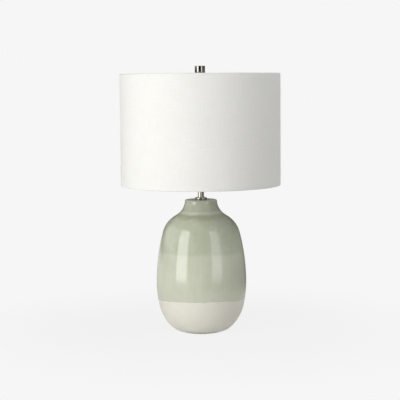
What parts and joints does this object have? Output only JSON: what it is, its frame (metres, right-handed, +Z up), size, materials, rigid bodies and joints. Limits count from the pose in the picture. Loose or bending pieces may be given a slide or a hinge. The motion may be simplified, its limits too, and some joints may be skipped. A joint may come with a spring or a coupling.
{
  "type": "table lamp",
  "caption": "Table lamp with a glazed ceramic jar base, a slim metal neck, a keyed lampholder, a harp and a white fabric drum shade held by a finial.",
  "frame": {"origin": "centre of the felt pad's underside, on the surface that the lamp stands on", "axes": "+Z up along the lamp's axis, +Y to the back where the cord leaves the jar, +X to the lamp's right in the picture"},
  "size_m": [0.4064, 0.4064, 0.6765],
  "materials": {
    "glaze": "sage reactive glaze over a cream satin foot band",
    "felt": "matte wool felt",
    "black_rubber": "matte",
    "zinc_steel": "zinc plated",
    "polished_nickel": "polished nickel",
    "satin_nickel": "satin nickel",
    "plated_shell": "nickel plated",
    "card": "pressed card",
    "black_moulding": "phenolic moulding",
    "brass": "bare brass",
    "frosted_glass": "inside frosted",
    "bulb_cap_metal": "bright",
    "black_glass": "gloss",
    "solder": "dull",
    "clear_glass": "clear",
    "tungsten": "drawn wire",
    "shade_linen": "plain weave, off white",
    "shade_backing": "white sheet",
    "white_wire": "white enamel"
  },
  "bodies": {
    "base": {"jar_body": "glaze", "base_pad": "felt", "cord_grommet": "black_rubber", "neck_gasket": "black_rubber", "neck_washer": "zinc_steel", "neck_nut": "zinc_steel", "threaded_nipple": "zinc_steel", "neck_flange": "polished_nickel", "neck_tube": "polished_nickel", "check_ring": "polished_nickel", "harp_saddle": "satin_nickel", "harp_bow": "satin_nickel", "holder_cap": "plated_shell", "holder_set_screw": "zinc_steel", "holder_shell": "plated_shell", "holder_insulator": "card", "holder_core": "black_moulding", "terminal_screws": "brass", "screw_shell": "brass", "centre_contact": "brass"},
    "switch": {"switch_shaft": "brass", "switch_cam": "black_moulding", "switch_knob": "black_moulding"},
    "bulb": {"bulb_glass": "frosted_glass", "bulb_cap": "bulb_cap_metal", "bulb_insulator": "black_glass", "bulb_tip": "solder", "bulb_stem": "clear_glass", "bulb_filament": "tungsten"},
    "sleeve_left": {"harp_sleeve_left": "satin_nickel"},
    "sleeve_right": {"harp_sleeve_right": "satin_nickel"},
    "swivel": {"harp_stud": "satin_nickel"},
    "shade": {"shade_fabric": "shade_linen", "shade_liner": "shade_backing", "shade_top_ring": "white_wire", "shade_bottom_ring": "white_wire", "spider_hub": "white_wire", "spider_arm_1": "white_wire", "spider_arm_2": "white_wire", "spider_arm_3": "white_wire"},
    "finial": {"finial_body": "polished_nickel", "finial_insert": "brass"}
  },
  "joints": [
    {"name": "switch_turn", "type": "hinge", "parent": "base", "child": "switch", "pos_m": [0, -0.02, 0.4146], "axis": [0, -1, 0], "continuous": true},
    {"name": "bulb_lift", "type": "slide", "parent": "base", "child": "bulb", "axis": [0, 0, 1], "range_m": [0, 0.03]},
    {"name": "harp_sleeve_left_lift", "type": "slide", "parent": "base", "child": "sleeve_left", "axis": [0, 0, 1], "range_m": [0, 0.014]},
    {"name": "harp_sleeve_right_lift", "type": "slide", "parent": "base", "child": "sleeve_right", "axis": [0, 0, 1], "range_m": [0, 0.014]},
    {"name": "shade_swivel", "type": "hinge", "parent": "base", "child": "swivel", "pos_m": [0, 0, 0.645], "axis": [0, 0, 1], "continuous": true},
    {"name": "shade_lift", "type": "slide", "parent": "swivel", "child": "shade", "axis": [0, 0, 1], "range_m": [0, 0.3]},
    {"name": "finial_lift", "type": "slide", "parent": "shade", "child": "finial", "axis": [0, 0, 1], "range_m": [0, 0.04]}
  ]
}
